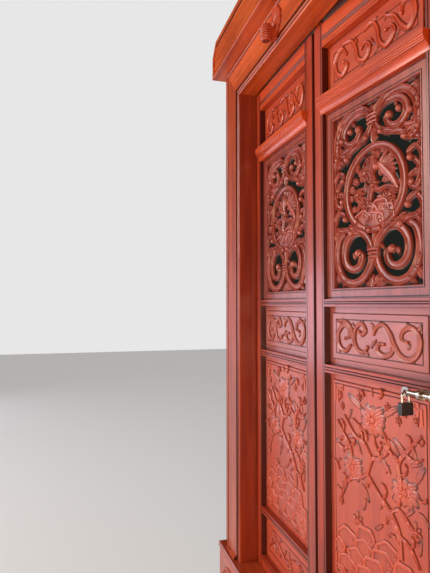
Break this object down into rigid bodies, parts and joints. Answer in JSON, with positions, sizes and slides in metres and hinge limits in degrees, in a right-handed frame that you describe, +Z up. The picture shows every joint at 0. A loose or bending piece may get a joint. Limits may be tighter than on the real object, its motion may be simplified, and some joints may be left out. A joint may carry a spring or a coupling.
{
  "type": "carved temple door",
  "caption": "Carved timber door of pivoting leaves in a moulded frame, with pierced scrollwork, relief panels, a sliding bolt and a padlock.",
  "frame": {"origin": "middle of the threshold's underside, in the plane of the closed leaves' front faces", "axes": "+X along the opening, +Y into the building, +Z up"},
  "size_m": [2.885, 0.3191, 2.811],
  "materials": {
    "leaf_wood": "glossy varnish",
    "carved_wood": "glossy varnish",
    "frame_wood": "glossy varnish",
    "bolt_steel": "polished",
    "shackle_steel": "polished",
    "padlock_case": "satin"
  },
  "bodies": {
    "frame": {"threshold_beam": "frame_wood", "threshold_apron": "carved_wood", "left_jamb": "frame_wood", "right_jamb": "frame_wood", "left_casing": "frame_wood", "right_casing": "frame_wood", "head_casing": "frame_wood", "head_rail": "frame_wood", "cornice_beam": "frame_wood", "head_bosses": "carved_wood"},
    "leaf_1": {"leaf_1_hinge_stile": "leaf_wood", "leaf_1_meeting_stile": "leaf_wood", "leaf_1_top_rail": "leaf_wood", "leaf_1_ledge_rail": "leaf_wood", "leaf_1_middle_rails": "leaf_wood", "leaf_1_lower_rails": "leaf_wood", "leaf_1_top_panel": "carved_wood", "leaf_1_pierced_panel": "carved_wood", "leaf_1_middle_panel": "carved_wood", "leaf_1_tall_panel": "carved_wood", "leaf_1_bottom_panel": "carved_wood"},
    "leaf_2": {"leaf_2_hinge_stile": "leaf_wood", "leaf_2_meeting_stile": "leaf_wood", "leaf_2_top_rail": "leaf_wood", "leaf_2_ledge_rail": "leaf_wood", "leaf_2_middle_rails": "leaf_wood", "leaf_2_lower_rails": "leaf_wood", "leaf_2_top_panel": "carved_wood", "leaf_2_pierced_panel": "carved_wood", "leaf_2_middle_panel": "carved_wood", "leaf_2_tall_panel": "carved_wood", "leaf_2_bottom_panel": "carved_wood", "bolt_plate": "bolt_steel"},
    "leaf_3": {"leaf_3_hinge_stile": "leaf_wood", "leaf_3_meeting_stile": "leaf_wood", "leaf_3_top_rail": "leaf_wood", "leaf_3_ledge_rail": "leaf_wood", "leaf_3_middle_rails": "leaf_wood", "leaf_3_lower_rails": "leaf_wood", "leaf_3_top_panel": "carved_wood", "leaf_3_pierced_panel": "carved_wood", "leaf_3_middle_panel": "carved_wood", "leaf_3_tall_panel": "carved_wood", "leaf_3_bottom_panel": "carved_wood", "keeper_plate": "bolt_steel"},
    "leaf_4": {"leaf_4_hinge_stile": "leaf_wood", "leaf_4_meeting_stile": "leaf_wood", "leaf_4_top_rail": "leaf_wood", "leaf_4_ledge_rail": "leaf_wood", "leaf_4_middle_rails": "leaf_wood", "leaf_4_lower_rails": "leaf_wood", "leaf_4_top_panel": "carved_wood", "leaf_4_pierced_panel": "carved_wood", "leaf_4_middle_panel": "carved_wood", "leaf_4_tall_panel": "carved_wood", "leaf_4_bottom_panel": "carved_wood"},
    "bolt": {"bolt_bar": "bolt_steel"},
    "shackle": {"padlock_shackle": "shackle_steel"},
    "padlock": {"padlock_body": "padlock_case"}
  },
  "joints": [
    {"name": "leaf_1_pivot", "type": "hinge", "parent": "frame", "child": "leaf_1", "pos_m": [-1.1845, 0.02, 1.2], "axis": [0, 0, 1], "range_deg": [0, 90]},
    {"name": "leaf_2_pivot", "type": "hinge", "parent": "frame", "child": "leaf_2", "pos_m": [-0.5815, 0.02, 1.2], "axis": [0, 0, 1], "range_deg": [-6.8, 83.2]},
    {"name": "leaf_3_pivot", "type": "hinge", "parent": "frame", "child": "leaf_3", "pos_m": [0.5815, 0.02, 1.2], "axis": [0, 0, -1], "range_deg": [-12, 78]},
    {"name": "leaf_4_pivot", "type": "hinge", "parent": "frame", "child": "leaf_4", "pos_m": [1.1845, 0.02, 1.2], "axis": [0, 0, -1], "range_deg": [0, 90]},
    {"name": "bolt_slide", "type": "slide", "parent": "leaf_2", "child": "bolt", "axis": [0.993, 0.1184, 0], "range_m": [0, 0.032]},
    {"name": "padlock_swing", "type": "hinge", "parent": "bolt", "child": "shackle", "pos_m": [-0.10475, 0.0124, 1.205], "axis": [-0.1184, 0.993, 0], "range_deg": [-50, 50]},
    {"name": "padlock_release", "type": "slide", "parent": "shackle", "child": "padlock", "axis": [0, 0, -1], "range_m": [0, 0.01]}
  ]
}
